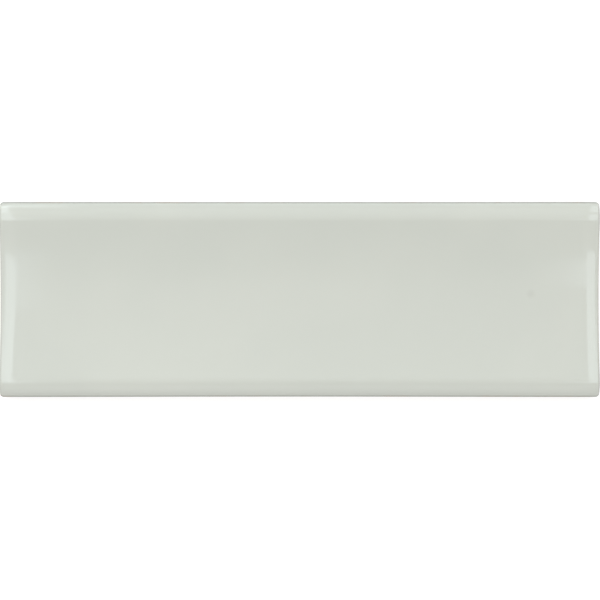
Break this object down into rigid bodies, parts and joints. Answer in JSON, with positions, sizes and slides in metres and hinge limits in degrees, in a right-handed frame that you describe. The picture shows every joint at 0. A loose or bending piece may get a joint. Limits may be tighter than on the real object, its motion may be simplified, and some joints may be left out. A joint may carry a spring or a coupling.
{
  "type": "concave wall tile",
  "caption": "Narrow glazed wall tile, hollowed in a shallow trough along its length between two rounded rims, with eased ends and a flat keyed back for adhesive.",
  "frame": {"origin": "middle of the flat back, which lies on the floor", "axes": "+X along the tile, +Y across it towards one rim, +Z out of the glazed face"},
  "size_m": [0.2, 0.065, 0.011],
  "materials": {
    "glaze": "glossy pale grey-green glaze"
  },
  "bodies": {
    "root": {"wall_tile": "glaze"}
  },
  "joints": []
}
